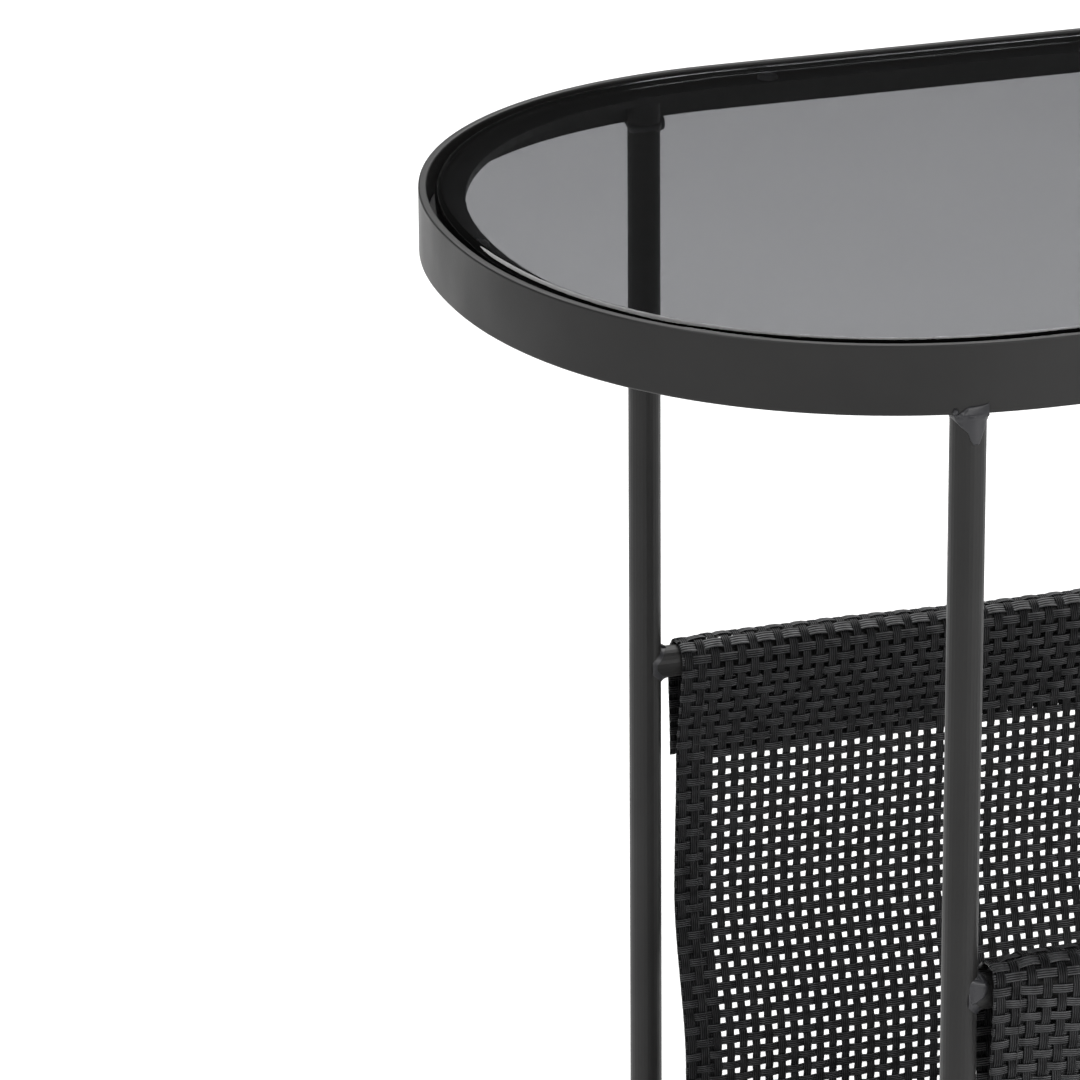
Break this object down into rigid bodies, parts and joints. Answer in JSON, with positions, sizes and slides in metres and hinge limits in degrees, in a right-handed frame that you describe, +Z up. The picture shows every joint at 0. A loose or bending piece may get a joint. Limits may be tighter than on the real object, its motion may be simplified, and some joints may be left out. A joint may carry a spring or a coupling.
{
  "type": "side table",
  "caption": "Oval side table with a loose smoked glass top in a flat steel rim, straight round legs and a woven magazine sling hung on rods.",
  "frame": {"origin": "on the floor, below the centre of the oval top", "axes": "+X along the table's length, +Y to its rear long side, +Z up"},
  "size_m": [0.6, 0.35, 0.58],
  "materials": {
    "frame_steel": "satin black powder coat",
    "smoked_glass": "smoked tempered glass with polished edges",
    "bumper": "clear silicone pad",
    "foot_plastic": "black nylon",
    "sling_weave": "open plain weave of flat coated ribbons, black"
  },
  "bodies": {
    "frame": {"rim_band": "frame_steel", "glass_ledge": "frame_steel", "glass_bumper_1": "bumper", "glass_bumper_2": "bumper", "glass_bumper_3": "bumper", "glass_bumper_4": "bumper", "glass_bumper_5": "bumper", "glass_bumper_6": "bumper", "leg_front_left": "frame_steel", "leg_front_right": "frame_steel", "leg_rear_left": "frame_steel", "leg_rear_right": "frame_steel", "foot_plug_front_left": "foot_plastic", "foot_plug_front_right": "foot_plastic", "foot_plug_rear_left": "foot_plastic", "foot_plug_rear_right": "foot_plastic", "sling_rod_front": "frame_steel", "sling_rod_rear": "frame_steel", "sling_fabric": "sling_weave"},
    "glass": {"glass_top": "smoked_glass"}
  },
  "joints": [
    {"name": "glass_lift", "type": "slide", "parent": "frame", "child": "glass", "axis": [0, 0, 1], "range_m": [0, 0.06]}
  ]
}
